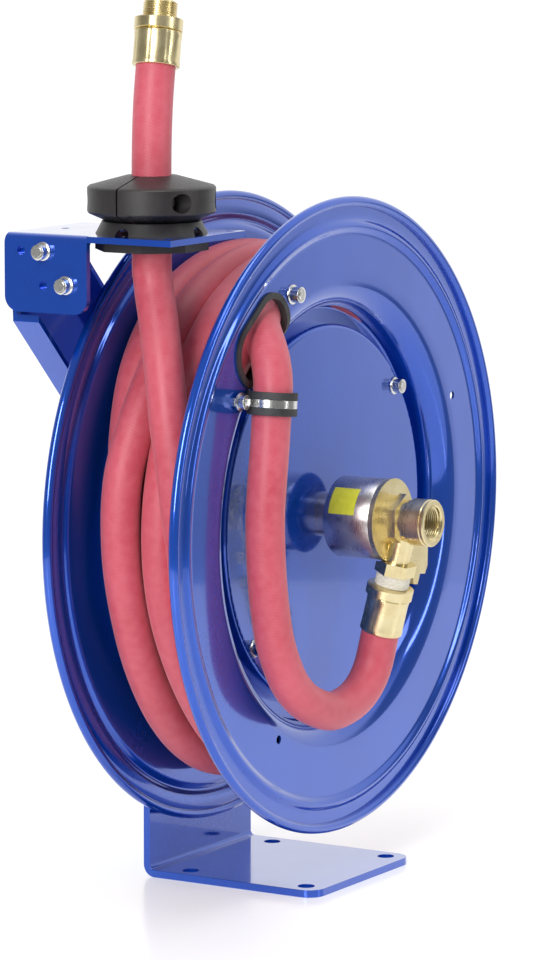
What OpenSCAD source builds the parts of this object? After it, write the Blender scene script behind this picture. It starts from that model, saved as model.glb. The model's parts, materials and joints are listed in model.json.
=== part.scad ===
// Spring-rewind hose reel on a single pedestal.
// Frame: origin at the centre of the four foot holes, on the foot's underside. +Z up.
// The swivel inlet faces -Y, the post stands at +Y, the hose guide is over -X.

/* [Pedestal] */
// thickness of the pedestal plate
plate_t = 6; // [4:0.5:12]
// half width of the foot and the post
foot_half = 78; // [50:1:120]
// reach of the foot in front of the hole pattern
foot_front = 71; // [60:1:120]
// front face of the post
post_y = 83.4; // [70:0.1:120]
// height of the post
post_h = 352; // [250:1:500]
// foot holes, half spacing across
foot_bolt_x = 63.5; // [40:0.5:100]
// foot holes, half spacing fore and aft
foot_bolt_y = 54; // [40:0.5:100]
// foot hole radius
foot_hole_r = 6.75; // [4:0.25:10]

/* [Drum] */
// height of the axle
axle_z = 294; // [200:1:500]
// middle plane of the drum
drum_y = 8; // [-20:1:20]
// outside of the barrel
barrel_r = 161; // [140:1:164]
// inside face of the cover plate's window
window_r = 166; // [160:1:180]
// ratchet wheel radius
ratchet_r = 62; // [45:1:90]

/* [Hose] */
// hose outside radius
hose_r = 15.25; // [8:0.25:25]
// outside of the wound hose
coil_r = 216; // [180:1:240]
// half width of the wound hose
coil_half = 48; // [30:1:53]

/* [Guide] */
// hose line at the guide, across
guide_x = -182; // [-220:1:-150]
// hose line at the guide, fore and aft
guide_y = 13; // [0:1:30]
// top of the bracket plate
bracket_z = 530; // [500:1:600]
// hose stop radius
stop_r = 49.2; // [35:0.1:60]
// lean of the end fitting
lean = 13.5; // [0:0.5:15]

/* [Swivel] */
// steel housing radius
housing_r = 32.25; // [25:0.25:45]
// inlet nose radius
nose_r = 18.65; // [15:0.05:25]
// inlet thread bore radius
inlet_r = 13.2; // [8:0.1:18]
// outlet port's slant towards the drum
port_slant = 14.4; // [0:0.1:20]

/* [Hidden] */
blue = [0.02, 0.16, 0.55];
red = [0.72, 0.2, 0.28];
steel = [0.62, 0.62, 0.64];
zinc = [0.72, 0.72, 0.7];
brass = [0.8, 0.66, 0.32];
black = [0.08, 0.08, 0.09];
grey = [0.35, 0.35, 0.36];
yellow = [0.9, 0.9, 0.25];
white = [0.92, 0.92, 0.9];
post_back = post_y + plate_t;
sp = post_y - drum_y;
sb = sp + plate_t;
arm_web = sb + 20;
stop_z = 540;
$fn = 64;

// hose from the swivel to the drum: across, outward from the drum's middle, up from the axle
riser_route = [
  [0, 100.1, -62], [0, 92.9, -90.1], [-0.6, 90, -104], [-3.2, 88, -117],
  [-10.5, 86.5, -129], [-23.5, 85.5, -138.5], [-42.3, 85, -144], [-63.6, 84.5, -145],
  [-84.9, 84, -139], [-103.5, 82.5, -129.6], [-118.2, 80.5, -116.2], [-129, 79, -99], [-136, 77, -80], [-141, 76, -58],
  [-144, 75, -34], [-145, 74, -8], [-144, 73, 20], [-141, 73, 46], [-137, 72.5, 68],
  [-133.6, 72, 90], [-130.6, 72, 117], [-128.6, 70.2, 127], [-125.2, 66.2, 137.5],
  [-119.6, 59.6, 147.3], [-112, 51.5, 155], [-101.8, 43.2, 161.5], [-89, 36.8, 167.6], [-74, 33.2, 175.3]
];
// hose from the drum to just under the guide, and from there to the end fitting
lead_route = [
  [-205.5, -15, 408], [-201, -9.5, 430], [-196, -3.7, 449], [-190, 2.7, 468],
  [-185.4, 8.6, 482], [-182.6, 12.1, 492], [-182, 13, 497], [-182, 13, 499.6]
];
outlet_route = [
  [0, 0, 500], [0, 0, 520], [0, 0, 545], [0, 0, 580], [1.1, 0.2, 606], [4.1, 0.9, 630], [8.1, 1.7, 650],
  [14.2, 3, 676]
];

function unit(v) = v / norm(v);
function ring_at(p, t, ref, r, n) = let(
    a = unit(cross(t, ref)),
    b = cross(a, t)
  ) [for (j = [0:n - 1]) p + r * (cos(360 * j / n) * a + sin(360 * j / n) * b)];
function tangent(path, i) = unit(path[min(i + 1, len(path) - 1)] - path[max(i - 1, 0)]);
function rings(path, ref, r, n) = [
  for (i = [0:len(path) - 1]) each ring_at(path[i], tangent(path, i), ref, r, n)
];
function side_faces(m, n) = [
  for (i = [0:m - 2]) for (j = [0:n - 1]) each [
    [i * n + j, i * n + (j + 1) % n, (i + 1) * n + j],
    [i * n + (j + 1) % n, (i + 1) * n + (j + 1) % n, (i + 1) * n + j]
  ]
];

module tube(path, ref, r, n) {
  m = len(path);
  first = [for (j = [n - 1:-1:0]) j];
  last = [for (j = [0:n - 1]) (m - 1) * n + j];
  polyhedron(points = rings(path, ref, r, n), faces = concat(side_faces(m, n), [first, last]));
}

module at_front(s) {
  translate([0, drum_y - s, axle_z])
    rotate([90, 0, 0])
      children();
}

module at_rear(s) {
  translate([0, drum_y + s, axle_z])
    rotate([-90, 0, 0])
      children();
}

module rod(r, z0, z1) {
  translate([0, 0, z0])
    cylinder(r = r, h = z1 - z0);
}

module tube_ring(r_out, r_in, z0, z1) {
  difference() {
    rod(r_out, z0, z1);
    rod(r_in, z0 - 1, z1 + 1);
  }
}

module hex(af, z0, z1) {
  translate([0, 0, z0])
    cylinder(r = af / sqrt(3), h = z1 - z0, $fn = 6);
}

module polar(r, a) {
  translate([r * cos(a), r * sin(a), 0])
    children();
}

module flange_nut(z0, af, hole) {
  difference() {
    union() {
      rod(af * 0.66, z0, z0 + 1.6);
      hex(af, z0 + 1.6, z0 + af * 0.75);
    }
    rod(hole, z0 - 1, z0 + af);
  }
}

module quarter(r_out, r_in) {
  intersection() {
    difference() {
      circle(r_out);
      circle(r_in);
    }
    square(r_out + 1);
  }
}

// ---- pedestal and axle ----

module pedestal() {
  color(blue)
    difference() {
      union() {
        translate([-foot_half, -foot_front + 14, 0])
          cube([2 * foot_half, foot_front - 14 + post_back - 10, plate_t]);
        translate([-foot_half + 14, -foot_front, 0])
          cube([2 * foot_half - 28, 20, plate_t]);
        for (x = [-1, 1])
          translate([x * (foot_half - 14), -foot_front + 14, 0])
            cylinder(r = 14, h = plate_t);
        translate([-foot_half, post_back - 10, 10])
          rotate([90, 0, 90])
            linear_extrude(2 * foot_half)
              rotate(-90)
                quarter(10, 10 - plate_t);
        translate([-foot_half, post_y, 10])
          cube([2 * foot_half, plate_t, post_h - 40]);
        translate([-foot_half + 30, post_y, 10])
          cube([2 * foot_half - 60, plate_t, post_h - 10]);
        for (x = [-1, 1])
          translate([x * (foot_half - 30), post_back, post_h - 30])
            rotate([90, 0, 0])
              cylinder(r = 30, h = plate_t);
      }
      for (x = [-1, 1])
        for (y = [-1, 1])
          translate([x * foot_bolt_x, y * foot_bolt_y, -1])
            cylinder(r = foot_hole_r, h = plate_t + 2);
      at_rear(sp)
        rod(12.6, -1, plate_t + 1);
      arm_bolt_places()
        rod(6.1, sp - 1, sb + 1);
      pawl_place()
        rod(5.05, sp - 1, sb + 1);
    }
}

module axle() {
  color(steel)
    at_rear(0) {
      difference() {
        rod(12.5, -39.8, sp + 53);
        tube_ring(14, 12, -37, -35.8);
      }
      rod(24, sp - 15, sp);
    }
}

module axle_ring() {
  color(grey)
    at_rear(0)
      tube_ring(14.5, 12, -36.95, -35.85);
}

module axle_nut() {
  color(zinc)
    at_rear(0) {
      tube_ring(22, 12.6, arm_web + 4, arm_web + 7);
      difference() {
        hex(36, arm_web + 7, arm_web + 22);
        rod(12.55, arm_web + 6, arm_web + 23);
      }
    }
}

module spring_arbor() {
  color(steel)
    at_rear(0)
      difference() {
        tube_ring(22, 12.55, -20, 13);
        translate([18, -3, -21])
          cube([8, 3, 35]);
      }
}

// ---- bearings ----

module race_inner(s0) {
  at_rear(s0)
    difference() {
      tube_ring(16.5, 12.55, 0, 15);
      translate([0, 0, 7.5])
        rotate_extrude()
          translate([19.25, 0])
            circle(4.05);
    }
}

module race_outer(s0) {
  at_rear(s0)
    difference() {
      tube_ring(25.95, 22, 0, 15);
      translate([0, 0, 7.5])
        rotate_extrude()
          translate([19.25, 0])
            circle(4.05);
    }
}

module race_balls(s0) {
  at_rear(s0 + 7.5)
    for (i = [0:8])
      polar(19.25, 40 * i)
        sphere(r = 3.97, $fn = 24);
}

module bearing_inner() {
  color(zinc)
    for (s0 = [-35.7, 16.1])
      race_inner(s0);
}

module bearing_outer() {
  color(zinc)
    for (s0 = [-35.7, 16.1])
      race_outer(s0);
}

module bearing_balls() {
  color(steel)
    for (s0 = [-35.7, 16.1])
      race_balls(s0);
}

// ---- guide arm and bracket ----

module arm_bolt_places() {
  for (t = [52, -38])
    at_rear(0)
      rotate([0, 0, 225])
        translate([t, 0, 0])
          children();
}

module arm_holes() {
  for (p = [[76.5, 517], [55.8, 492]])
    translate([0, p[0], p[1]])
      rotate([0, 90, 0])
        children();
}

module guide_arm() {
  color(blue)
    difference() {
      union() {
        difference() {
          at_rear(0)
            rotate([0, 0, 225]) {
              rod(40, arm_web, arm_web + 4);
              translate([0, -40, arm_web])
                cube([420, 80, 4]);
              for (y = [-40, 36])
                translate([0, y, sb])
                  cube([420, 4, 20.5]);
            }
          translate([-523.2, 50, 380])
            cube([300, 100, 300]);
          translate([-300, 50, bracket_z - 5])
            cube([300, 100, 200]);
        }
        translate([-223.2, drum_y + arm_web - 4, 472])
          linear_extrude(48)
            rotate(90)
              quarter(8, 4);
        translate([-231.2, 46, 472])
          cube([4, drum_y + arm_web - 50, 48]);
      }
      at_rear(0)
        rod(12.6, arm_web - 1, arm_web + 5);
      arm_bolt_places()
        rod(6.1, arm_web - 1, arm_web + 5);
      arm_holes()
        rod(4.1, -232, -226);
    }
}

module arm_bolts() {
  color(zinc)
    arm_bolt_places() {
      hex(19, sp - 7.5, sp);
      rod(6, sp - 1, arm_web + 17);
    }
}

module arm_spacers() {
  color(steel) {
    arm_bolt_places()
      tube_ring(10, 6.1, sb, arm_web);
    at_rear(0)
      tube_ring(20, 12.6, sb, arm_web);
  }
}

module arm_nuts() {
  color(zinc)
    arm_bolt_places()
      difference() {
        hex(19, arm_web + 4, arm_web + 14);
        rod(6.05, arm_web + 3, arm_web + 15);
      }
}

module guide_bracket() {
  color(blue)
    difference() {
      union() {
        translate([-236, -38, bracket_z - 4.8])
          cube([108, 75, 4.8]);
        translate([-228, 36, bracket_z - 4.8])
          cube([100, 76, 4.8]);
        translate([-228, 112, bracket_z - 8])
          rotate([90, 0, 0])
            linear_extrude(75)
              rotate(90)
                quarter(8, 3.2);
        translate([-236, 37, 482])
          cube([4.8, 75, bracket_z - 490]);
        translate([-236, 49, 470])
          cube([4.8, 51, 20]);
        for (y = [49, 100])
          translate([-236, y, 482])
            rotate([0, 90, 0])
              cylinder(r = 12, h = 4.8);
      }
      translate([guide_x, guide_y, 500])
        cylinder(r = 36, h = 60);
      for (p = [[-138, -30], [-226, -30], [-138, 58], [guide_x, 92]])
        translate([p[0], p[1], 500])
          cylinder(r = 3.2, h = 60);
      arm_holes()
        rod(4.1, -240, -230);
      for (p = [[96.7, 517], [76.8, 491]])
        translate([-240, p[0], p[1]])
          rotate([0, 90, 0])
            cylinder(r = 3.6, h = 20);
    }
}

module bracket_bolts() {
  color(zinc)
    arm_holes() {
      rod(4, -245, -226);
      hex(13, -227.2, -222);
    }
}

module bracket_nuts() {
  color(zinc)
    arm_holes()
      rotate([180, 0, 0])
        flange_nut(236, 11, 4.05);
}

module roller_housing() {
  color(black)
    translate([guide_x, guide_y, 0])
      difference() {
        union() {
          translate([0, 0, bracket_z])
            cylinder(h = stop_z - 0.5 - bracket_z, r1 = 43, r2 = 38);
          rod(35.8, bracket_z - 6, bracket_z + 1);
          rotate([0, 0, 22.5])
            translate([0, 0, bracket_z - 12.5])
              cylinder(r = 44, h = 7.7, $fn = 8);
        }
        rod(33, bracket_z - 13, stop_z);
        for (a = [0:90:270])
          rotate([0, 0, a])
            translate([25, 0, bracket_z])
              rotate([0, 90, 0])
                cylinder(r = 6, h = 30);
        pin_places()
          translate([0, 0, -30])
            cylinder(r = 2.02, h = 60);
      }
}

module pin_places() {
  for (k = [0, 1])
    rotate([0, 0, 45 + 90 * k])
      for (y = [-21.8, 21.8])
        translate([0, y, bracket_z - 9 + 13.8 * k])
          rotate([0, 90, 0])
            children();
}

module roller_pins() {
  color(zinc)
    translate([guide_x, guide_y, 0])
      pin_places()
        translate([0, 0, -30])
          cylinder(r = 2, h = 60);
}

module guide_roller(k, y) {
  translate([guide_x, guide_y, 0])
    rotate([0, 0, 45 + 90 * k])
      translate([0, y, bracket_z - 9 + 13.8 * k])
        rotate([0, 90, 0])
          tube_ring(4.8, 2.06, -16.5, 16.5);
}

module roller_a() {
  color(black)
    guide_roller(0, -21.8);
}

module roller_b() {
  color(black)
    guide_roller(0, 21.8);
}

module roller_c() {
  color(black)
    guide_roller(1, -21.8);
}

module roller_d() {
  color(black)
    guide_roller(1, 21.8);
}

// ---- ratchet ----

module pawl_place() {
  at_rear(0)
    translate([50, 72, 0])
      children();
}

module pawl_pivot() {
  color(zinc)
    pawl_place() {
      rod(8, 38, sp);
      rod(5, 33, sb + 12);
      rod(8, 32.6, 33.6);
      translate([0, 0, sb])
        difference() {
          hex(16, 0, 8);
          rod(5.02, -1, 9);
        }
    }
}

module pawl() {
  color(steel)
    pawl_place()
      difference() {
        union() {
          rod(10, 34, 37.6);
          translate([0, 0, 34])
            linear_extrude(3.6)
              polygon([[1, 9.8], [-44.5, -3.2], [-44, -9], [-3, -9.5]]);
          translate([-44.2, -6.1, 34])
            cylinder(r = 3, h = 3.6);
        }
        rod(5.06, 33, 39);
      }
}

module ratchet_wheel() {
  color(steel)
    at_rear(0)
      difference() {
        tube_ring(ratchet_r, 31.05, 32, 38);
        for (i = [0:3])
          rotate([0, 0, 85 + 90 * i])
            translate([ratchet_r - 10, -12, 31])
              cube([20, 24, 8]);
      }
}

// ---- drum ----

module disc_profile() {
  translate([132, 27])
    square([36, 2]);
  translate([window_r, 28])
    square([2, 7]);
  translate([187, 35])
    rotate(90)
      quarter(21, 19);
  translate([186.9, 54])
    square([39.4, 2]);
  intersection() {
    translate([230.5, 53.1])
      difference() {
        circle(5.9);
        circle(3.9);
      }
    translate([220, 54])
      square([20, 10]);
  }
  translate([234.7, 54])
    square([14, 2]);
  translate([250, 57])
    circle(4);
}

module disc_sheet() {
  rotate_extrude($fn = 96)
    disc_profile();
}

module slot_shape(r) {
  polar(192.5, 127.5)
    rotate([0, 0, 37.5])
      translate([0, 0, 20]) {
        translate([-19, -r, 0])
          cube([32, 2 * r, 50]);
        for (x = [-19, 13])
          translate([x, 0, 0])
            cylinder(r = r, h = 50);
      }
}

module rim_screws() {
  for (a = [40:90:310])
    polar(143, a)
      children();
}

module front_disc() {
  color(blue)
    at_front(0)
      difference() {
        disc_sheet();
        slot_shape(24);
        polar(197.6, 23)
          rod(3.5, 50, 60);
        polar(191, -120)
          rod(3.5, 50, 60);
        polar(198, 112.5)
          rod(4.1, 50, 60);
        polar(190.3, 145.6)
          rod(3.3, 50, 60);
        rim_screws()
          rod(3.6, 20, 30);
      }
}

module rear_disc() {
  color(blue)
    at_rear(0)
      difference() {
        disc_sheet();
        rim_screws()
          rod(3.6, 20, 30);
      }
}

module drum_barrel() {
  color(blue)
    at_rear(-27)
      tube_ring(barrel_r, barrel_r - 2, 0, 54);
}

module rear_end_plate() {
  color(blue)
    at_rear(0)
      difference() {
        tube_ring(160, 31.05, 29, 32);
        rim_screws()
          rod(3.6, 20, 40);
      }
}

module end_plate_bolts() {
  color(zinc)
    at_rear(0)
      rim_screws() {
        rod(3.5, 20, 40);
        hex(11, 32, 37);
        hex(11, 21.5, 27);
      }
}

module spring_cover() {
  color(blue)
    at_front(0)
      difference() {
        union() {
          rotate_extrude() {
            square([148.5, 42]);
            translate([148.5, 38.5])
              circle(3.5);
            square([152, 38.5]);
          }
        }
        rotate_extrude() {
          translate([0, -1])
            square([148.5, 41]);
          translate([148.5, 38.5])
            circle(1.5);
          translate([0, -1])
            square([150, 39.5]);
        }
        rod(160, -2, 29);
        rim_screws()
          rod(3.6, 30, 50);
      }
}

module cover_spacers() {
  color(steel)
    at_front(0)
      rim_screws()
        tube_ring(5.5, 3.6, 29, 40);
}

module cover_bolts() {
  color(zinc)
    at_front(0)
      rim_screws() {
        rod(3.5, 22, 51);
        hex(11, 22, 27);
      }
}

module cover_nuts() {
  color(zinc)
    at_front(0)
      rim_screws()
        flange_nut(42, 11, 3.55);
}

function spiral(r0, r1, turns, step, w) = concat(
  [for (i = [0:turns * step]) let(r = r0 + (r1 - r0) * i / (turns * step), a = 360 * i / step)
    [r * cos(a), r * sin(a)]],
  [for (i = [turns * step:-1:0]) let(r = r0 + (r1 - r0) * i / (turns * step) + w, a = 360 * i / step)
    [r * cos(a), r * sin(a)]]
);

module power_spring() {
  color(steel)
    at_rear(-18) {
      linear_extrude(27)
        polygon(spiral(24, 150, 11, 24, 1.4));
      translate([149.6, -4, 0])
        cube([9.2, 4, 27]);
    }
}

module front_hub() {
  color(steel)
    at_front(0) {
      tube_ring(45, 26, 34, 40);
      tube_ring(31, 26, 20.2, 35);
      tube_ring(31, 23, 18.5, 20.6);
    }
}

module rear_hub() {
  color(steel)
    at_rear(0) {
      tube_ring(45, 26, 23, 29);
      tube_ring(31, 26, 16, 38);
      tube_ring(31, 23, 14, 16.1);
    }
}

module disc_bolt() {
  color(zinc)
    at_front(0)
      polar(198, 112.5) {
        rod(4, 50, 65.5);
        hex(13, 50, 53.9);
        flange_nut(56, 12, 4.05);
      }
}

module trim_section() {
  translate([187, 52])
    square([40, 6]);
  translate([187, 35])
    rotate(90)
      quarter(23, 17);
  translate([164, 31])
    square([6, 4]);
}

module slot_trim() {
  color(black)
    at_front(0)
      difference() {
        intersection() {
          rotate_extrude()
            trim_section();
          slot_shape(26.5);
        }
        slot_shape(21.5);
        difference() {
          disc_sheet();
          slot_shape(24);
        }
      }
}

// ---- swivel ----

module swivel_housing() {
  color(steel)
    at_front(0)
      difference() {
        union() {
          rod(18, 42, 60);
          rod(housing_r, 58, 99.5);
        }
        rod(20.05, 69.5, 101);
      }
}

module swivel_label() {
  color(yellow)
    at_front(0)
      intersection() {
        tube_ring(housing_r + 0.3, housing_r, 63, 86);
        rotate([0, 0, 128])
          translate([0, 0, 60])
            linear_extrude(30)
              polygon([[0, 0], [60, 0], [60, 51.8]]);
      }
}

outlet_web = [
  [9, -8], [30, -8], [46, -18], [45, -42], [41, -48], [33, -47], [29, -55], [23, -54], [21, -46],
  [16, -41], [9, -41]
];

module port() {
  translate([0, 0, 116])
    rotate([90 + port_slant, 0, 0])
      children();
}

module swivel_outlet() {
  color(brass)
    at_front(0)
      difference() {
        union() {
          rod(20, 70, 100);
          rod(33, 99.5, 103.6);
          rod(20, 103.5, 109.6);
          rotate([0, 0, 30])
            hex(37.5, 109.5, 116);
          rod(17, 115, 122);
          translate([0, 0, 103.5])
            linear_extrude(6.5)
              polygon(outlet_web);
          difference() {
            port() {
              rod(10, 8, 38);
              hex(28, 34, 44);
            }
            rod(33.6, 70, 99.8);
          }
        }
        rod(14, 94, 123);
        rod(20, 122.2, 127);
        rod(9.5, 80, 95);
        port()
          rod(6.5, 0, 44);
        port()
          rod(9.5, 40, 45);
      }
}

module inlet_nose() {
  color(brass)
    at_front(0)
      difference() {
        union() {
          rod(nose_r, 122.6, 140.4);
          rod(13.92, 96, 123);
        }
        tube_ring(nose_r + 1, nose_r - 0.8, 136.6, 138.4);
        tube_ring(15, 12, 107, 117);
        tube_ring(15, 12.3, 118, 120.6);
        tube_ring(15, 12.3, 104, 106);
        tube_ring(15, 13, 97.5, 98.7);
        rod(inlet_r, 124.4, 141);
        rod(9.5, 95, 125);
        for (a = [0:90:270])
          rotate([0, 0, a])
            translate([0, 0, 112])
              rotate([0, 90, 0])
                cylinder(r = 3.5, h = 20);
      }
}

module swivel_seals() {
  color(black)
    at_front(0) {
      tube_ring(13.95, 12.3, 118.3, 120.3);
      tube_ring(13.95, 12.3, 104.2, 105.8);
    }
}

module swivel_ring() {
  color(grey)
    at_front(0)
      tube_ring(13.9, 13, 97.6, 98.6);
}

// ---- riser ----

module thread_tape() {
  color(white)
    at_front(0)
      port()
        tube_ring(13.7, 13.35, 44, 54);
}

module riser_coupling() {
  color(brass)
    at_front(0)
      port()
        difference() {
          union() {
            rod(9.4, 41, 51);
            rod(13.35, 44, 54.5);
            hex(36, 54, 63);
          }
          rod(7, 40, 64);
        }
}

module riser_ferrule() {
  color(brass)
    at_front(0)
      port()
        tube_ring(17, 15.4, 63, 93);
}

module riser_hose() {
  color(red)
    at_front(0)
      tube([for (p = riser_route) [p[0], p[2], p[1]]], [0, 0, 1], hose_r, 12);
}

module clamp_frame() {
  at_front(0)
    translate([-132, 104.5, 72])
      rotate([0, 0, -6.3])
        rotate([-90, 0, 0])
          children();
}

module clamp_cushion() {
  color(black)
    clamp_frame()
      difference() {
        tube_ring(19.6, 15.4, -9, 9);
        tube_ring(20, 18.3, -3.2, 3.2);
      }
}

module clamp_band() {
  color(zinc)
    difference() {
      union() {
        clamp_frame()
          tube_ring(19.4, 18.3, -3.1, 3.1);
        clamp_frame()
          translate([-33, 13.6, -3.1])
            cube([23, 2.4, 6.2]);
      }
      at_front(0)
        polar(190.3, 145.6)
          rod(3.3, 50, 62);
      clamp_frame()
        rod(18.32, -20, 20);
    }
}

module clamp_bolt() {
  color(zinc)
    at_front(0)
      polar(190.3, 145.6) {
        rod(3.2, 50.2, 66);
        hex(10, 50.2, 53.5);
        rod(7.2, 58.4, 60);
        hex(11, 60, 65);
      }
}

// ---- hose ----

module wound_hose() {
  color(red)
    at_rear(0)
      rotate_extrude($fn = 96)
        difference() {
          union() {
            translate([barrel_r + 0.2, -26.5])
              square([coil_r - barrel_r - 0.2, 53]);
            translate([171, 16 - coil_half])
              square([coil_r - 171, 2 * coil_half - 32]);
            translate([187, -coil_half])
              square([coil_r - 187, 2 * coil_half]);
            for (y = [-1, 1])
              translate([187, y * (coil_half - 16)])
                circle(16);
          }
          translate([0, -60])
            square([barrel_r + 0.1, 120]);
        }
}

module hose_to_guide() {
  color(red)
    tube(lead_route, [0, 1, 0], hose_r, 12);
}

module outlet_hose() {
  color(red)
    tube([for (p = outlet_route) p + [guide_x, guide_y, 0]], [0, 1, 0], hose_r, 12);
}

module stop_body() {
  translate([guide_x, guide_y, stop_z])
    difference() {
      rotate_extrude()
        polygon([
          [15.3, 0], [36, 0], [stop_r - 1, 5.5], [stop_r, 7], [stop_r, 25],
          [stop_r - 1.5, 26.5], [20, 34], [15.3, 34]
        ]);
      for (x = [-24, 24])
        translate([x, 0, 15.5])
          rotate([90, 0, 0]) {
            rod(3.3, -60, 60);
            rod(7.5, 28, 60);
            rod(7.5, -60, -28);
          }
    }
}

module stop_half_a() {
  color(black)
    intersection() {
      stop_body();
      translate([guide_x - 60, guide_y - 60.7, stop_z - 10])
        cube([120, 60, 60]);
    }
}

module stop_half_b() {
  color(black)
    intersection() {
      stop_body();
      translate([guide_x - 60, guide_y + 0.7, stop_z - 10])
        cube([120, 60, 60]);
    }
}

module stop_bolts() {
  color(zinc)
    for (x = [-24, 24])
      translate([guide_x + x, guide_y, stop_z + 15.5])
        rotate([90, 0, 0]) {
          rod(3.2, -33.5, 29);
          hex(10, 28, 32.5);
          hex(10, -32, -28);
        }
}

module at_end() {
  translate([guide_x + 8.1, guide_y + 1.7, 650])
    rotate([0, lean, 12])
      children();
}

module end_ferrule() {
  color(brass)
    at_end()
      tube_ring(18.3, 15.5, 6, 33);
}

module end_coupling() {
  color(brass)
    at_end()
      difference() {
        union() {
          hex(36, 33, 43);
          rod(13.35, 43, 56.5);
        }
        rod(9.5, 32, 57);
        rod(15.5, 20, 33);
      }
}

pedestal();
axle();
axle_nut();
spring_arbor();
bearing_inner();
axle_ring();
guide_arm();
arm_bolts();
arm_spacers();
arm_nuts();
guide_bracket();
bracket_bolts();
bracket_nuts();
roller_housing();
roller_pins();
roller_a();
roller_b();
roller_c();
roller_d();
pawl_pivot();
pawl();
hose_to_guide();
front_disc();
rear_disc();
drum_barrel();
rear_end_plate();
end_plate_bolts();
spring_cover();
cover_spacers();
cover_bolts();
cover_nuts();
power_spring();
front_hub();
rear_hub();
bearing_outer();
bearing_balls();
ratchet_wheel();
disc_bolt();
slot_trim();
clamp_band();
clamp_cushion();
clamp_bolt();
swivel_housing();
swivel_label();
swivel_outlet();
riser_coupling();
riser_ferrule();
thread_tape();
riser_hose();
wound_hose();
inlet_nose();
swivel_seals();
swivel_ring();
outlet_hose();
stop_half_a();
stop_half_b();
stop_bolts();
end_coupling();
end_ferrule();
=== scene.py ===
"""Spring-rewind hose reel: looks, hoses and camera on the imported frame."""
import json
import math

import bpy
import numpy as np
from mathutils import Matrix, Vector


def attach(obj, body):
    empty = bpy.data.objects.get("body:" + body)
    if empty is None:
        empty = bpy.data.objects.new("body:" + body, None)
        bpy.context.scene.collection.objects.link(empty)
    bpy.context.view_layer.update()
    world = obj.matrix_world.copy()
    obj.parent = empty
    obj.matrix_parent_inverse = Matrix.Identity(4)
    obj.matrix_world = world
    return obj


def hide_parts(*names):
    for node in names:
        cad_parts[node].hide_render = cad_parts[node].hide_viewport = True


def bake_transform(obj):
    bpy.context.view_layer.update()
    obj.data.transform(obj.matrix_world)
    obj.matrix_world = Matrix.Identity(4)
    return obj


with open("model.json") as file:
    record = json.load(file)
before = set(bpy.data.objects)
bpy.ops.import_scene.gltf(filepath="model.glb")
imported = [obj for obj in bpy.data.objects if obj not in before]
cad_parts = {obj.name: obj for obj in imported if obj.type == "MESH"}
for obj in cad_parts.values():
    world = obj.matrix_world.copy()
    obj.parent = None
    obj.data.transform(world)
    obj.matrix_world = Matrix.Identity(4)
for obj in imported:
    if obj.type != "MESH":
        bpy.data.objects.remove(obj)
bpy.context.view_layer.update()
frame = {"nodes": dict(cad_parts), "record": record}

MM = 0.001
NODES = frame["nodes"]
AXLE_Z = 294.0
DRUM_Y = 8.0
HOSE_R = 15.25
GUIDE = (-182.0, 13.0)

# ---- camera ----

CAMERA_TARGET = Vector((-0.0122, 0.0099, 0.3197))
CAMERA_TURN = -58.86
CAMERA_RISE = 7.96
CAMERA_REACH = 3.7374
CAMERA_LENS = 175.5


def direction(azimuth, elevation):
    """Unit vector from the object towards a viewer at that azimuth and elevation."""
    a, e = math.radians(azimuth), math.radians(elevation)
    return Vector((math.sin(a) * math.cos(e), -math.cos(a) * math.cos(e), math.sin(e)))


def aim(obj, target, azimuth, elevation, reach):
    back = direction(azimuth, elevation)
    obj.location = target + reach * back
    obj.rotation_mode = "QUATERNION"
    obj.rotation_quaternion = (-back).to_track_quat("-Z", "Y")


def make_camera():
    data = bpy.data.cameras.new("camera")
    data.sensor_fit = "AUTO"
    data.sensor_width = 36.0
    data.lens = CAMERA_LENS
    data.clip_start, data.clip_end = 0.05, 60.0
    obj = bpy.data.objects.new("camera", data)
    bpy.context.scene.collection.objects.link(obj)
    aim(obj, CAMERA_TARGET, CAMERA_TURN, CAMERA_RISE, CAMERA_REACH)
    bpy.context.scene.camera = obj


# ---- mesh helpers ----


def front(s):
    """Matrix of a place on the drum's axis, s mm in front of its middle, local z facing out."""
    return Matrix.Translation((0, (DRUM_Y - s) * MM, AXLE_Z * MM)) @ Matrix.Rotation(math.pi / 2, 4, "X")


def rear(s):
    return Matrix.Translation((0, (DRUM_Y + s) * MM, AXLE_Z * MM)) @ Matrix.Rotation(-math.pi / 2, 4, "X")


def new_object(name, verts, faces, sharp=35.0, uvs=None):
    """Mesh object in metres; uvs is one pair for each face corner."""
    mesh = bpy.data.meshes.new(name)
    mesh.from_pydata([tuple(v) for v in verts], [], [tuple(f) for f in faces])
    if uvs is not None:
        layer = mesh.uv_layers.new(name="UVMap")
        layer.data.foreach_set("uv", np.asarray(uvs, np.float32).ravel())
    mesh.shade_smooth()
    if sharp is not None:
        mesh.set_sharp_from_angle(angle=math.radians(sharp))
    obj = bpy.data.objects.new(name, mesh)
    bpy.context.scene.collection.objects.link(obj)
    return obj


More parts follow.
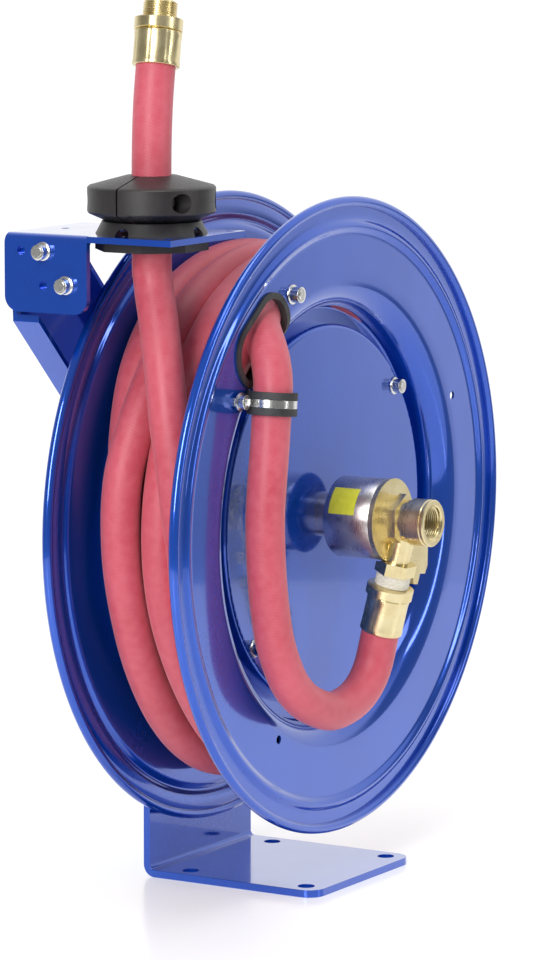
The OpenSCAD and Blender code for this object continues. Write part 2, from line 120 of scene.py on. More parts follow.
def smooth_path(points, step):
    """Even points, step mm apart, on a smooth curve through the given ones."""
    p = np.asarray(points, float)
    p = np.vstack([2 * p[0] - p[1], p, 2 * p[-1] - p[-2]])
    out = []
    for i in range(1, len(p) - 2):
        a, b, c, d = p[i - 1 : i + 3]
        t0, t1, t2 = (math.sqrt(np.linalg.norm(q)) for q in (b - a, c - b, d - c))
        m1 = (b - a) / t0 - (c - a) / (t0 + t1) + (c - b) / t1
        m2 = (c - b) / t1 - (d - b) / (t1 + t2) + (d - c) / t2
        m1, m2 = m1 * t1, m2 * t1
        for t in np.linspace(0, 1, 24, endpoint=False):
            h = t * t * (3 - 2 * t)
            out.append(b + h * (c - b) + t * (1 - t) ** 2 * m1 - t * t * (1 - t) * m2)
    out.append(p[-2])
    out = np.array(out)
    along = np.concatenate([[0], np.cumsum(np.linalg.norm(np.diff(out, axis=0), axis=1))])
    even = np.linspace(0, along[-1], max(2, round(along[-1] / step) + 1))
    return np.column_stack([np.interp(even, along, out[:, k]) for k in range(3)])


def path_length(path):
    return float(np.linalg.norm(np.diff(path, axis=0), axis=1).sum())


def tube(name, path, radius, around=40):
    """Round hose along a path in mm, with UVs: metres along, and turns around."""
    p = np.asarray(path, float) * MM
    tangent = np.gradient(p, axis=0)
    tangent /= np.linalg.norm(tangent, axis=1)[:, None]
    side = np.cross(tangent[0], (0.31, 0.52, 0.79))
    angle = np.linspace(0, 2 * math.pi, around, endpoint=False)
    verts = []
    for i in range(len(p)):
        side = side - tangent[i] * (side @ tangent[i])
        side /= np.linalg.norm(side)
        other = np.cross(tangent[i], side)
        verts.append(p[i] + radius * MM * (np.outer(np.cos(angle), side) + np.outer(np.sin(angle), other)))
    verts = np.vstack(verts)
    n = len(p)
    i, j = np.meshgrid(np.arange(n - 1), np.arange(around), indexing="ij")
    k = (j + 1) % around
    here, ahead = i * around, (i + 1) * around
    quads = np.stack([here + j, here + k, ahead + k, ahead + j], -1).reshape(-1, 4)
    along = np.concatenate([[0], np.cumsum(np.linalg.norm(np.diff(p, axis=0), axis=1))])
    u = np.stack([along[i], along[i], along[i + 1], along[i + 1]], -1)
    v = np.stack([j, j + 1, j + 1, j], -1) / around
    uvs = np.stack([u, v], -1).reshape(-1, 2)
    ends = [list(range(around))[::-1], [(n - 1) * around + q for q in range(around)]]
    uvs = np.vstack([uvs, np.zeros((2 * around, 2))])
    return new_object(name, verts, quads.tolist() + ends, 60.0, uvs)


# a nut's end face over its width across flats, where the turned chamfer starts
CROWN_SHARE = 0.985


class Shape:
    """Collects solids of one piece in mm, each made about a local z axis."""

    def __init__(self):
        self.verts, self.faces = [], []
        self.place = Matrix.Identity(4)

    def at(self, matrix):
        self.place = matrix
        return self

    def add(self, verts, faces):
        base = len(self.verts)
        self.verts += [self.place @ (Vector(v) * MM) for v in verts]
        self.faces += [tuple(base + i for i in f) for f in faces]
        return self

    def rings(self, rows, closed):
        """Joins rows of points, each row one turn, or one point on the axis."""
        verts, faces, starts = [], [], []
        for row in rows:
            starts.append(len(verts))
            verts += row
        count = len(rows)
        for k in range(count if closed else count - 1):
            a, b = starts[k], starts[(k + 1) % count]
            na, nb = len(rows[k]), len(rows[(k + 1) % count])
            for j in range(max(na, nb)):
                q = (j + 1) % max(na, nb)
                if na == 1:
                    faces.append((a, b + q, b + j))
                elif nb == 1:
                    faces.append((a + j, a + q, b))
                else:
                    faces.append((a + j, a + q, b + q, b + j))
        return self.add(verts, faces)

    def lathe(self, profile, segments=96, closed=True, wobble=None):
        """Turns a profile of (radius, z), given anticlockwise with r to the right and z up."""
        rows = []
        for r, z in profile:
            if r < 1e-6:
                rows.append([(0, 0, z)])
                continue
            row = []
            for j in range(segments):
                a = 2 * math.pi * j / segments
                q = r * (wobble(a, z) if wobble else 1.0)
                row.append((q * math.cos(a), q * math.sin(a), z))
            rows.append(row)
        return self.rings(rows, closed)

    def hexagon(self, af, z0, z1, hole, segments=96):
        """Nut body with a hole and turned chamfers at both ends.

        Known fault: the angle from a flat's middle wraps once in the whole turn and not six times,
        so the outline has one corner where a hexagon has six. 360 in place of 60 would put it right.
        """
        crown = 0.5 * af * CROWN_SHARE
        corner = [(60 * j / segments + 30) % 60 - 30 for j in range(segments)]
        across = [0.5 * af / math.cos(math.radians(a)) for a in corner]
        drop = [0.5 * (r - crown) for r in across]
        level = [0.0] * segments
        rows = (
            ([hole] * segments, z0, 0, level), ([crown] * segments, z0, 0, level),
            (across, z0, 1, drop), (across, z1, -1, drop),
            ([crown] * segments, z1, 0, level), ([hole] * segments, z1, 0, level),
        )
        turn = [2 * math.pi * j / segments for j in range(segments)]
        return self.rings(
            [
                [(r * math.cos(a), r * math.sin(a), z + side * d) for r, a, d in zip(radii, turn, down)]
                for radii, z, side, down in rows
            ],
            True,
        )

    def thread(self, root, depth, pitch, z0, z1, segments=48):
        """Pipe thread: one ridge on a helix from z0 to z1. A negative depth points inward."""
        turns = (z1 - z0) / pitch
        count = int(turns * segments)
        verts, faces = [], []
        for k in range(count + 1):
            a = 2 * math.pi * k / segments
            z = z0 + pitch * k / segments
            # the ridge grows and dies over a third of a turn
            crest = root + depth * max(0.02, min(1.0, 3.0 * k / segments, 3.0 * (count - k) / segments))
            for r, dz in ((root, -0.46), (crest, -0.06), (crest, 0.06), (root, 0.46)):
                verts.append((r * math.cos(a), r * math.sin(a), z + dz * pitch))
        for k in range(count):
            for j in range(4):
                q = (j + 1) % 4
                face = (4 * k + j, 4 * k + 4 + j, 4 * k + 4 + q, 4 * k + q)
                faces.append(face if depth > 0 else face[::-1])
        ends = [(0, 1, 2, 3), (4 * count + 3, 4 * count + 2, 4 * count + 1, 4 * count)]
        faces += ends if depth > 0 else [f[::-1] for f in ends]
        return self.add(verts, faces)

    def prism(self, outline, z0, z1):
        n = len(outline)
        verts = [(x, y, z) for z in (z0, z1) for x, y in outline]
        faces = [(j, (j + 1) % n, n + (j + 1) % n, n + j) for j in range(n)]
        return self.add(verts, faces + [tuple(range(n))[::-1], tuple(range(n, 2 * n))])

    def build(self, name, sharp=35.0):
        return new_object(name, self.verts, self.faces, sharp)


def ring_profile(r_in, r_out, z0, z1, edge=0.4):
    """Rectangle section of a ring, its outer edges broken."""
    return [
        (r_in, z0), (r_out - edge, z0), (r_out, z0 + edge),
        (r_out, z1 - edge), (r_out - edge, z1), (r_in, z1),
    ]


def arc(cx, cy, r, start, end, count):
    """Points on an arc, angles in degrees."""
    return [
        (cx + r * math.cos(math.radians(a)), cy + r * math.sin(math.radians(a)))
        for a in np.linspace(start, end, count)
    ]


def polar(r, a):
    return (r * math.cos(math.radians(a)), r * math.sin(math.radians(a)))


def cut(obj, cutter):
    """Takes the cutter's volume out of obj, and removes the cutter."""
    modifier = obj.modifiers.new("cut", "BOOLEAN")
    modifier.operation = "DIFFERENCE"
    modifier.solver = "EXACT"
    modifier.object = cutter
    graph = bpy.context.evaluated_depsgraph_get()
    mesh = bpy.data.meshes.new_from_object(obj.evaluated_get(graph))
    obj.modifiers.clear()
    obj.data = mesh
    bpy.data.objects.remove(cutter)
    mesh.shade_smooth()
    mesh.set_sharp_from_angle(angle=math.radians(30))
    return obj


def soften(node, width):
    """Rounds a CAD node's sharp edges a little, as paint, casting or tumbling leaves them."""
    obj = NODES[node]
    weld = obj.modifiers.new("weld", "WELD")
    weld.merge_threshold = 0.000005
    flat = obj.modifiers.new("flat", "DECIMATE")
    flat.decimate_type = "DISSOLVE"
    flat.angle_limit = math.radians(0.5)
    bevel = obj.modifiers.new("bevel", "BEVEL")
    bevel.width = width * MM
    bevel.segments = 2
    bevel.limit_method = "ANGLE"
    bevel.angle_limit = math.radians(32)
    bevel.use_clamp_overlap = True
    weight = obj.modifiers.new("normals", "WEIGHTED_NORMAL")
    weight.keep_sharp = False


# ---- materials ----


class Nodes:
    """A new material and short calls that add nodes to it."""

    def __init__(self, name):
        self.material = bpy.data.materials.new(name)
        self.material.use_nodes = True
        self.tree = self.material.node_tree
        self.shader = next(n for n in self.tree.nodes if n.type == "BSDF_PRINCIPLED")

    def add(self, kind, **inputs):
        node = self.tree.nodes.new("ShaderNode" + kind)
        for key, value in inputs.items():
            self.put(node, key, value)
        return node

    def put(self, node, key, value):
        key = int(key[1:]) if key[0] == "i" and key[1:].isdigit() else key.replace("_", " ")
        if isinstance(value, bpy.types.NodeSocket):
            self.tree.links.new(value, node.inputs[key])
        else:
            node.inputs[key].default_value = value

    def coords(self, kind="Object"):
        return self.add("TexCoord").outputs[kind]

    def scaled(self, vector, scale):
        node = self.add("Mapping", Vector=vector)
        node.inputs["Scale"].default_value = scale
        return node.outputs["Vector"]

    def noise(self, vector, scale, detail=2.0, rough=0.5):
        node = self.add("TexNoise", Vector=vector, Scale=scale, Detail=detail, Roughness=rough)
        return node.outputs["Fac"]

    def ramp(self, value, low, high, start=0.3, end=0.7):
        node = self.add("MapRange", Value=value)
        node.inputs["From Min"].default_value = start
        node.inputs["From Max"].default_value = end
        node.inputs["To Min"].default_value = low
        node.inputs["To Max"].default_value = high
        return node.outputs["Result"]

    def mix(self, factor, first, second):
        node = self.tree.nodes.new("ShaderNodeMix")
        node.data_type = "RGBA"
        for socket, value in (("Factor_Float", factor), ("A_Color", first), ("B_Color", second)):
            target = next(s for s in node.inputs if s.identifier == socket)
            if isinstance(value, bpy.types.NodeSocket):
                self.tree.links.new(value, target)
            else:
                target.default_value = value if socket == "Factor_Float" else (*value, 1.0)
        return next(s for s in node.outputs if s.identifier == "Result_Color")

    def math(self, operation, first, second=0.0):
        node = self.tree.nodes.new("ShaderNodeMath")
        node.operation = operation
        self.put(node, "i0", first)
        self.put(node, "i1", second)
        return node.outputs[0]

    def dot(self, first, second):
        node = self.tree.nodes.new("ShaderNodeVectorMath")
        node.operation = "DOT_PRODUCT"
        self.put(node, "i0", first)
        node.inputs[1].default_value = second
        return node.outputs["Value"]

    def bump(self, height, distance, strength=1.0):
        node = self.add("Bump", Height=height, Distance=distance, Strength=strength)
        return node.outputs["Normal"]

    def surface(self, **inputs):
        for key, value in inputs.items():
            if key == "Base_Color" and not isinstance(value, bpy.types.NodeSocket):
                value = (*value, 1.0)
            self.put(self.shader, key, value)
        return self.material


def make_paint():
    """Gloss enamel: the blue tints part of what the room sends back, and the clear top adds the rest."""
    n = Nodes("blue_paint")
    at = n.coords()
    cloud = n.noise(at, 9.0, 3.0)
    speck = n.noise(at, 240.0, 2.0)
    colour = n.mix(n.ramp(cloud, 0.0, 1.0), (0.004, 0.072, 0.50), (0.006, 0.088, 0.57))
    smear = n.noise(n.scaled(at, (30.0, 30.0, 6.0)), 1.0, 4.0)
    rough = n.ramp(smear, 0.10, 0.19)
    peel = n.bump(n.noise(at, 300.0, 1.0), 0.00004, 0.5)
    return n.surface(
        Base_Color=n.mix(n.ramp(speck, 0.0, 0.10), colour, (0.0, 0.03, 0.3)),
        Metallic=0.55, Roughness=rough, Normal=peel, IOR=1.5, Coat_Weight=1.0, Coat_Roughness=0.05,
    )


def make_hose_rubber():
    n = Nodes("red_rubber")
    uv = n.coords("UV")
    at = n.coords()
    # the cloth that the cover was wrapped in leaves fine slanted ribs
    wrap = n.math("SINE", n.dot(uv, (2 * math.pi / 0.0023, 2 * math.pi * 9, 0.0)))
    weave = n.math("SINE", n.dot(uv, (2 * math.pi / 0.0016, -2 * math.pi * 34, 0.0)))
    grain = n.noise(at, 900.0, 2.0)
    height = n.math("ADD", n.math("MULTIPLY", wrap, 0.35), n.math("MULTIPLY", weave, 0.25))
    height = n.math("ADD", height, n.math("MULTIPLY", grain, 1.2))
    wide = n.noise(at, 14.0, 3.0)
    fine = n.noise(at, 130.0, 3.0)
    colour = n.mix(n.ramp(wide, 0.0, 1.0), (0.53, 0.065, 0.095), (0.62, 0.095, 0.135))
    colour = n.mix(n.ramp(fine, 0.0, 0.35), colour, (0.70, 0.17, 0.22))
    # painted shade: the low parts of the ribs and grain, the same height that bumps the cover, are
    # darkened towards deep red
    colour = n.mix(n.ramp(height, 0.12, 0.0, -0.3, 0.9), colour, (0.25, 0.02, 0.035))
    return n.surface(
        Base_Color=colour, Roughness=n.ramp(fine, 0.40, 0.56), IOR=1.48,
        Normal=n.bump(height, 0.00009, 0.7), Sheen_Weight=0.25, Sheen_Roughness=0.45,
        Sheen_Tint=(1.0, 0.72, 0.76, 1.0),
    )


def make_metal(name, light, dark, rough, turned=0.0):
    """Metal with fine working marks, which run round the drum's axis where turned is set."""
    n = Nodes(name)
    at = n.coords()
    marks = n.noise(n.scaled(at, (140.0, 2600.0, 140.0) if turned else (500.0, 500.0, 500.0)), 1.0, 3.0)
    stain = n.noise(at, 60.0, 4.0)
    colour = n.mix(n.ramp(stain, 0.0, 1.0), dark, light)
    return n.surface(
        Base_Color=colour, Metallic=1.0,
        Roughness=n.math("ADD", n.ramp(stain, rough, rough + 0.08), n.ramp(marks, -0.03, 0.05)),
        Normal=n.bump(marks, 0.00003, 0.5),
    )


def make_black(name, light, dark, rough, grain, depth):
    n = Nodes(name)
    at = n.coords()
    pits = n.noise(at, grain, 3.0, 0.6)
    dust = n.noise(at, 45.0, 4.0)
    return n.surface(
        Base_Color=n.mix(n.ramp(dust, 0.0, 1.0), dark, light),
        Roughness=n.ramp(pits, rough - 0.06, rough + 0.08),
        Normal=n.bump(pits, depth, 0.8), IOR=1.5,
    )


def make_tape():
    n = Nodes("white_tape")
    at = n.coords()
    wrinkles = n.noise(n.scaled(at, (300.0, 300.0, 1500.0)), 1.0, 3.0)
    # painted shade: the tape darkens from pale cream to dull yellow in the hollows of its wrinkles, the
    # low parts of the field that also bumps it
    return n.surface(
        Base_Color=n.mix(n.ramp(wrinkles, 0.0, 1.0), (0.62, 0.58, 0.46), (0.86, 0.84, 0.76)),
        Roughness=0.5, Normal=n.bump(wrinkles, 0.0002, 0.6),
    )


def make_label():
    n = Nodes("yellow_label")
    at = n.coords()
    return n.surface(
        Base_Color=n.mix(n.ramp(n.noise(at, 200.0), 0.0, 1.0), (0.62, 0.62, 0.03), (0.72, 0.70, 0.05)),
        Roughness=0.35, Normal=n.bump(n.noise(at, 500.0), 0.00002),
    )


def make_materials():
    return {
        "blue_paint": make_paint(),
        "red_rubber": make_hose_rubber(),
        "brass": make_metal("brass", (0.82, 0.72, 0.44), (0.70, 0.58, 0.31), 0.24, 1.0),
        "steel": make_metal("steel", (0.56, 0.54, 0.53), (0.44, 0.42, 0.42), 0.24, 1.0),
        "zinc": make_metal("zinc", (0.78, 0.78, 0.76), (0.60, 0.60, 0.58), 0.20),
        "black_rubber": make_black(
            "black_rubber", (0.055, 0.055, 0.058), (0.012, 0.012, 0.013), 0.6, 420.0, 0.0006
        ),
        "black_plastic": make_black(
            "black_plastic", (0.030, 0.027, 0.028), (0.016, 0.014, 0.015), 0.42, 600.0, 0.00008
        ),
        "yellow_label": make_label(),
        "white_tape": make_tape(),
    }


def paint_nodes(materials):
    for row in frame["record"]["subparts"]:
        mesh = NODES[row["node"]].data
        mesh.materials.clear()
        mesh.materials.append(materials[row["material_slot"]])


def finish_piece(obj, materials, slot_name, body, nodes=()):
    obj.data.materials.append(materials[slot_name])
    if body:
        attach(obj, body)
    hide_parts(*nodes)
    return obj


# ---- hoses ----

# from the swivel to the slot: across, outward from the drum's middle, up from the axle
RISER = [
    (0, 100.1, -62), (0, 92.9, -90.1), (-0.6, 90, -104), (-3.2, 88, -117),
    (-10.5, 86.5, -129), (-23.5, 85.5, -138.5), (-42.3, 85, -144), (-63.6, 84.5, -145),
    (-84.9, 84, -139), (-103.5, 82.5, -129.6), (-118.2, 80.5, -116.2), (-129, 79, -99),
    (-136, 77, -80), (-141, 76, -58), (-144, 75, -34), (-145, 74, -8), (-144, 73, 20),
    (-141, 73, 46), (-137, 72.5, 68), (-133.6, 72, 90), (-130.6, 72, 117), (-128.6, 70.2, 127),
    (-125.2, 66.2, 137.5), (-119.6, 59.6, 147.3), (-112, 51.5, 155), (-101.8, 43.2, 161.5),
    (-89, 36.8, 167.6), (-74, 33.2, 175.3),
]
# on the drum: degrees turned from the -X side over the top, radius, and place along the axle
WRAPS = [
    (80, 188, -31), (100, 180, -26), (120, 177, -20), (150, 176.5, -16), (360, 176.5, -15.3),
    (395, 176.5, -14), (420, 177, -8), (450, 177, 0), (480, 176.5, 12), (510, 176.5, 15.5),
    (690, 176.5, 15.5), (705, 177, 17), (720, 178, 22), (735, 186, 29), (749, 194, 32.5),
    (757, 198, 34.5), (768, 201, 36.5), (812, 201, 37), (900, 201, 36.5), (1000, 201, 30),
    (1020, 201.5, 24), (1045, 202, 19), (1062, 203, 18), (1080, 205, 19.5), (1095, 208, 18.5),
    (1104, 208, 15.5), (1117, 206.5, 13.5), (1137, 204, 14.5), (1158, 202.5, 13),
    (1200, 201, 8), (1260, 201, 3), (1340, 201, -8), (1380, 201, -17.5), (1395, 201, -20),
    (1412, 201, -19), (1425, 200, -15.5), (1440, 198, -12.7), (1460, 197, -12), (1485, 199, -13),
    (1500, 200, -11.5), (1520, 200.5, -12), (1560, 201, -20), (1620, 201, -27), (1700, 201, -33),
    (1740, 201, -36), (1765, 196, -36.5), (1790, 190, -36), (1820, 187, -35), (1850, 188, -34),
    (1880, 187, -33), (1920, 186, -33),
]
# from the coil up to the guide, then through the stop to the end fitting
LEAD_START = [(-45, 190, -37), (-30, 196, -38), (-15, 203, -39.5)]
LEAD = [
    (-206, -40, 294), (-209, -36.8, 324), (-210, -33, 358), (-208.5, -27, 388),
    (-205.5, -23, 407), (-201, -17.5, 430), (-196, -11.7, 449), (-190, -5.3, 468),
    (-184.5, 1.2, 485), (-182, 4.6, 500),
]
LEAD_END = [(0, 0, 580), (1.1, 0.2, 606), (4.1, 0.9, 630), (8.1, 1.7, 650), (14.2, 3, 676)]
FIXED_UP_TO, FREE_FROM = 500.0, 535.0
PATH_STEP = 2.5


def on_drum(turn, radius, along):
    a = math.radians(turn)
    return (-radius * math.cos(a), DRUM_Y + along, AXLE_Z + radius * math.sin(a))


def wrap_points():
    keys = np.array(WRAPS, float)
    slope = np.gradient(keys, keys[:, 0], axis=0)
    points = []
    for k in range(len(keys) - 1):
        a, b, ma, mb = keys[k], keys[k + 1], slope[k], slope[k + 1]
        span = b[0] - a[0]
        for t in np.linspace(0, 1, max(1, round(span / 4)), endpoint=False):
            points.append((a[0] + t * span, *hermite(t, a, b, ma, mb, span)))
    return points + [tuple(keys[-1])]


def hermite(t, a, b, ma, mb, span):
    h00, h10 = (1 + 2 * t) * (1 - t) ** 2, t * (1 - t) ** 2
    h01, h11 = t * t * (3 - 2 * t), t * t * (t - 1)
    return [h00 * a[i] + h10 * span * ma[i] + h01 * b[i] + h11 * span * mb[i] for i in (1, 2)]


def make_hoses(materials):
    riser = [(x, DRUM_Y - s, AXLE_Z + dz) for x, s, dz in RISER]
    wound = smooth_path(riser + [on_drum(*p) for p in wrap_points()], PATH_STEP)
    hose = tube("hose_wound", wound, HOSE_R)
    finish_piece(hose, materials, "red_rubber", "drum", ("riser_hose", "wound_hose"))
    x, y = GUIDE
    below = [on_drum(*p) for p in LEAD_START] + [(px, DRUM_Y + u, pz) for px, u, pz in LEAD]
    below = smooth_path(below + [(x, y, 503.0)], PATH_STEP)
    below = below[below[:, 2] < FIXED_UP_TO - 0.3]
    across = [(x, y, z) for z in np.linspace(FIXED_UP_TO, FREE_FROM, 71)]
    leaning = [(x + dx, y + dy, z) for dx, dy, z in LEAD_END]
    above = smooth_path([(x, y, FREE_FROM + 1.0), (x, y, 556.0)] + leaning, PATH_STEP)
    lead_path = np.vstack([below, across, above])
    lead = tube("hose_lead", lead_path, HOSE_R)
    finish_piece(lead, materials, "red_rubber", None, ("hose_to_guide", "outlet_hose"))
    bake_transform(lead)
    print("cord lengths, m:", path_length(wound) * MM, path_length(lead_path) * MM)


# ---- pressed discs ----

SHEET = 1.0
RIDGE_R, RIDGE_HALF, RIDGE_UP = 230.5, 6.4, 3.0


def sheet_line():
    """Middle line of the pressed disc: flange, window wall, rolled shoulder, flat, ridge."""
    line = [(132.0, 28.0)] + arc(163.0, 32.0, 4.0, -90, 0, 7) + arc(187.0, 35.0, 20.0, 180, 90, 22)
    line += [(r, 55.0) for r in (196.0, 206.0, 216.0, 222.0)]
    for t in np.linspace(-1, 1, 17):
        line.append((RIDGE_R + RIDGE_HALF * t, 55.0 + RIDGE_UP * (0.5 + 0.5 * math.cos(math.pi * t))))
    return line + [(240.0, 55.0), (244.0, 55.0)]


def disc_profile():
    line = np.array(sheet_line())
    step = np.gradient(line, axis=0)
    normal = np.column_stack([-step[:, 1], step[:, 0]]) / np.linalg.norm(step, axis=1)[:, None]
    inner, outer = line - SHEET * normal, line + SHEET * normal
    bead = arc(250.0, 57.0, 4.0, -146, 194, 26)
    return [tuple(q) for q in inner] + bead + [tuple(q) for q in outer[::-1]]


def disc(name, matrix, cutter):
    shape = Shape().at(matrix).lathe(disc_profile(), 288)
    return cut(shape.build(name), cutter)


def drill(shape, place, r, z0, z1):
    """Adds a round cutter at a place on the disc."""
    x, y = place
    turn = np.linspace(0, 2 * math.pi, 32, endpoint=False)
    shape.prism([(x + r * math.cos(a), y + r * math.sin(a)) for a in turn], z0, z1)


def rim_cutter(matrix):
    shape = Shape().at(matrix)
    for place in RIM_SCREWS:
        drill(shape, place, 3.6, 24, 34)
    return shape


RIM_SCREWS = [polar(143, a) for a in (40, 130, 220, 310)]
SPARE_HOLES = (polar(197.6, 23), polar(191, -120))
DISC_BOLT = polar(198, 112.5)
CLAMP_BOLT = polar(190.3, 145.6)
SLOT_CENTRE = polar(192.5, 127.5)
SLOT_TURN = 37.5
SLOT_R = 24
SLOT_ENDS = (-19, 13)


def make_discs(materials):
    cutter = rim_cutter(front(0))
    for place, r in ((SPARE_HOLES[0], 3.5), (SPARE_HOLES[1], 3.5), (DISC_BOLT, 4.1), (CLAMP_BOLT, 3.3)):
        drill(cutter, place, r, 48, 62)
    cx, cy = SLOT_CENTRE
    turn = math.radians(SLOT_TURN)
    low, high = SLOT_ENDS
    slot = [
        (cx + x * math.cos(turn) - y * math.sin(turn), cy + x * math.sin(turn) + y * math.cos(turn))
        for x, y in arc(high, 0, SLOT_R, -90, 90, 25) + arc(low, 0, SLOT_R, 90, 270, 25)
    ]
    cutter.prism(slot, 22, 70)
    face = disc("disc_front", front(0), cutter.build("cutter"))
    finish_piece(face, materials, "blue_paint", "drum", ("front_disc",))
    back_holes = rim_cutter(rear(0)).build("cutter")
    finish_piece(disc("disc_rear", rear(0), back_holes), materials, "blue_paint", "drum", ("rear_disc",))


# ---- swivel, couplings and fasteners ----

PORT_S, PORT_TILT = 116, 104.4
END_LEAN, END_TURN = 13.5, 12
PORT = (
    front(0)
    @ Matrix.Translation((0, 0, PORT_S * MM))
    @ Matrix.Rotation(math.radians(PORT_TILT), 4, "X")
)
END = (
    Matrix.Translation(((GUIDE[0] + 8.1) * MM, (GUIDE[1] + 1.7) * MM, 650 * MM))
    @ Matrix.Rotation(math.radians(END_TURN), 4, "Z")
    @ Matrix.Rotation(math.radians(END_LEAN), 4, "Y")
)
# pipe thread: pitch, root and height of the ridge
PITCH, THREAD_ROOT, THREAD_RISE = 1.81, 12.3, 1.0
HOSE_FIT = 15.35


def crimped(a, z):
    """The crimping jaws leave faint flats along a ferrule."""
    return 1.0 - 0.012 * max(0.0, math.cos(8 * a)) ** 6


def wrinkled(a, z):
    """Wound tape bulges and puckers a little."""
    return 1.0 + 0.010 * math.sin(3 * a + 1.7 * z) * math.sin(7 * a - 0.9 * z)


def ferrule(shape, r, z0, z1, bore):
    profile = [(bore, z0), (r - 0.9, z0)] + arc(r - 0.9, z0 + 0.9, 0.9, -60, 0, 4)
    profile += [(r, z0 + 3), (r - 0.25, z0 + 4), (r - 0.25, z1 - 5), (r, z1 - 4)]
    profile += arc(r - 0.9, z1 - 0.9, 0.9, 0, 60, 4) + [(r - 0.9, z1), (bore, z1)]
    return shape.lathe(profile, 128, True, crimped)


def make_swivel(materials):
    housing = Shape().at(front(0))
    outline = [(0, 42), (18, 42), (18, 56.5)] + arc(19.5, 56.5, 1.5, 180, 90, 4) + [(31.0, 58)]
    outline += arc(31.0, 59.25, 1.25, -90, 0, 5)
    outline += [(32.25, 98.3), (31.6, 99.4), (20.1, 99.4), (20.1, 69.6), (0, 69.6)]
    housing.lathe(outline, 160, False)
    finish_piece(housing.build("swivel_body"), materials, "steel", "drum", ("swivel_housing",))
    nose = Shape().at(front(0))
    outline = [
        (9.6, 96), (13.9, 96), (13.9, 122.6), (17.6, 122.6), (18.65, 123.5), (18.65, 136.3),
        (17.9, 136.9), (17.9, 138.0), (18.65, 138.6), (18.65, 139.5), (17.8, 140.4), (14.6, 140.4),
        (13.3, 139.0), (13.2, 124.4), (9.6, 124.4),
    ]
    nose.lathe(outline, 128)
    nose.thread(13.3, -1.0, PITCH, 126, 139.0)
    finish_piece(nose.build("inlet_nozzle"), materials, "brass", "inlet", ("inlet_nose",))


def make_couplings(materials):
    riser = Shape().at(PORT)
    riser.hexagon(36, 54, 63, 7.1)
    riser.lathe([(7, 41), (9.3, 41), (9.4, 43.9), (12.4, 44.1), (12.4, 54.2), (7, 54.2)], 64)
    riser.thread(THREAD_ROOT, THREAD_RISE, PITCH, 45.0, 53.6)
    finish_piece(riser.build("coupling_riser"), materials, "brass", "drum", ("riser_coupling",))
    wall = ferrule(Shape().at(PORT), 17.0, 63, 93, HOSE_FIT).build("ferrule_riser")
    finish_piece(wall, materials, "brass", "drum", ("riser_ferrule",))
    tape = Shape().at(PORT)
    ridges = [
        (13.45 + 0.3 * math.cos(2 * math.pi * z / PITCH) ** 2, z) for z in np.linspace(44.3, 53.7, 44)
    ]
    tape.lathe([(13.35, 44.2)] + ridges + [(13.35, 53.8)], 96, True, wrinkled)
    finish_piece(tape.build("tape_wrap"), materials, "white_tape", "drum", ("thread_tape",))
    end = Shape().at(END)
    end.hexagon(36, 33, 43, 9.6)
    end.lathe([(9.5, 33.1), (12.4, 33.1), (12.4, 55.6), (11.5, 56.5), (10.2, 56.5), (9.5, 55.8)], 96)
    end.thread(THREAD_ROOT, THREAD_RISE, PITCH, 44.4, 56.0)
    finish_piece(end.build("coupling_end"), materials, "brass", "hose_end", ("end_coupling",))
    wall = ferrule(Shape().at(END), 18.3, 6, 33, HOSE_FIT).build("ferrule_end")
    finish_piece(wall, materials, "brass", "hose_end", ("end_ferrule",))


def flange_nut(shape, z0, af, hole, tip=0.0, stud=0.0):
    """Nut with its own washer, chamfered; with a stud's end if asked."""
    base = af * 0.66
    washer = [
        (hole, z0), (base - 0.3, z0), (base, z0 + 0.5),
        (base - 0.2, z0 + 1.2), (af * 0.55, z0 + 1.9), (hole, z0 + 1.9),
    ]
    shape.lathe(washer, 64)
    shape.hexagon(af, z0 + 1.6, z0 + af * 0.75, hole)
    if stud:
        rod = [(0, z0 - 4), (stud, z0 - 4), (stud, tip - 0.8), (stud - 0.8, tip), (0, tip)]
        shape.lathe(rod, 48, False)


def make_fasteners(materials):
    cover = Shape()
    for x, y in RIM_SCREWS:
        cover.at(front(0) @ Matrix.Translation((x * MM, y * MM, 0)))
        flange_nut(cover, 42, 11, 3.55)
    finish_piece(cover.build("nuts_cover"), materials, "zinc", "drum", ("cover_nuts",))
    x, y = DISC_BOLT
    bolt = Shape().at(front(0) @ Matrix.Translation((x * MM, y * MM, 0)))
    bolt.hexagon(13, 50, 53.9, 3.9)
    flange_nut(bolt, 56, 12, 4.0, 65.5, 3.95)
    finish_piece(bolt.build("bolt_disc"), materials, "zinc", "drum", ("disc_bolt",))
    x, y = CLAMP_BOLT
    bolt = Shape().at(front(0) @ Matrix.Translation((x * MM, y * MM, 0)))
    bolt.hexagon(10, 50.2, 53.5, 3.1)
    bolt.lathe(ring_profile(3.1, 7.2, 58.4, 60.0, 0.3), 48)
    bolt.hexagon(11, 60, 65, 3.1)
    bolt.lathe([(0, 50.2), (3.2, 50.2), (3.2, 65.2), (2.4, 66), (0, 66)], 48, False)
    finish_piece(bolt.build("bolt_clamp"), materials, "zinc", "drum", ("clamp_bolt",))
    pair = Shape()
    for y, z in ((76.5, 517), (55.8, 492)):
        pair.at(Matrix.Translation((0, y * MM, z * MM)) @ Matrix.Rotation(-math.pi / 2, 4, "Y"))
        flange_nut(pair, 236, 11, 4.05)
    finish_piece(pair.build("nuts_bracket"), materials, "zinc", "frame", ("bracket_nuts",))


SOFTENED = {
    "pedestal": 0.9, "guide_arm": 0.9, "guide_bracket": 0.9, "stop_half_a": 0.8, "stop_half_b": 0.8,
    "roller_housing": 0.7, "swivel_outlet": 0.6, "clamp_band": 0.3, "clamp_cushion": 0.5, "slot_trim": 0.6,
    "arm_nuts": 0.6, "axle_nut": 0.8, "arm_bolts": 0.5, "bracket_bolts": 0.4, "stop_bolts": 0.4,
    "pawl_pivot": 0.5,
}


# ---- floor, light and background ----


FLOOR_R = 1.5
LIGHT_TARGET = Vector((0.0, 0.0, 0.3))


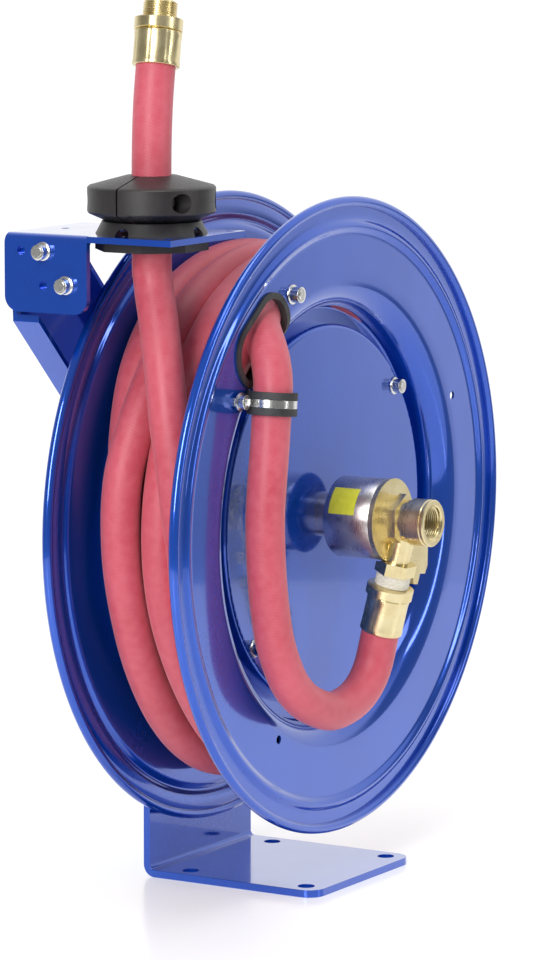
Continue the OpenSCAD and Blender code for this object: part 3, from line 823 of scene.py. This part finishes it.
def make_floor():
    n = Nodes("floor_white")
    mottle = n.noise(n.coords(), 3.0, 2.0)
    n.surface(
        Base_Color=n.mix(mottle, (0.80, 0.80, 0.81), (0.82, 0.82, 0.82)), Roughness=0.22, IOR=1.3,
        Emission_Color=(1.0, 1.0, 1.0, 1.0), Emission_Strength=0.32,
    )
    turn = np.linspace(0, 2 * math.pi, 96, endpoint=False)
    edge = [(FLOOR_R * math.cos(a), FLOOR_R * math.sin(a), 0) for a in turn]
    floor = new_object("floor", edge, [tuple(range(96))])
    floor.data.materials.append(n.material)


def make_light(name, azimuth, elevation, reach, size, power):
    data = bpy.data.lights.new(name, "AREA")
    data.shape = "RECTANGLE"
    data.size, data.size_y = size
    data.energy = power
    obj = bpy.data.objects.new(name, data)
    bpy.context.scene.collection.objects.link(obj)
    aim(obj, LIGHT_TARGET, azimuth, elevation, reach)


# the room's falls: direction, where each goes from dark to light, and the two levels.
# The darker of the two falls holds.
WORLD_FALL = (
    ((0.92, 0.0, -0.4), -0.60, 0.45, 0.26, 1.08),
    ((0.0, 1.0, 0.35), -0.605, -0.515, 0.24, 1.08),
)


def make_world():
    world = bpy.data.worlds.new("studio")
    bpy.context.scene.world = world
    world.use_nodes = True
    tree = world.node_tree
    shade = next(n for n in tree.nodes if n.type == "BACKGROUND")
    where = tree.nodes.new("ShaderNodeTexCoord")
    parts = []
    for along, low, high, floor_level, top_level in WORLD_FALL:
        facing = tree.nodes.new("ShaderNodeVectorMath")
        facing.operation = "DOT_PRODUCT"
        tree.links.new(where.outputs["Generated"], facing.inputs[0])
        facing.inputs[1].default_value = Vector(along)
        fall = tree.nodes.new("ShaderNodeMapRange")
        fall.interpolation_type = "SMOOTHSTEP"
        levels = {"From Min": low, "From Max": high, "To Min": floor_level, "To Max": top_level}
        for name, value in levels.items():
            fall.inputs[name].default_value = value
        tree.links.new(facing.outputs["Value"], fall.inputs["Value"])
        parts.append(fall.outputs["Result"])
    both = tree.nodes.new("ShaderNodeMath")
    both.operation = "MINIMUM"
    tree.links.new(parts[0], both.inputs[0])
    tree.links.new(parts[1], both.inputs[1])
    tree.links.new(both.outputs["Value"], shade.inputs["Strength"])
    shade.inputs["Color"].default_value = (1.0, 1.0, 1.0, 1.0)


def make_lights():
    make_light("key_left", -82.0, 22.0, 3.0, (0.9, 1.7), 60.0)
    make_light("top", -40.0, 80.0, 2.4, (0.8, 2.0), 17.0)
    make_light("front_right", 8.0, 20.0, 3.0, (0.35, 2.2), 16.0)


make_camera()
MATERIALS = make_materials()
paint_nodes(MATERIALS)
make_couplings(MATERIALS)
make_hoses(MATERIALS)
make_discs(MATERIALS)
make_swivel(MATERIALS)
make_fasteners(MATERIALS)
for part, width in SOFTENED.items():
    soften(part, width)
make_floor()
make_world()
make_lights()
bpy.context.scene.view_settings.view_transform = "Standard"
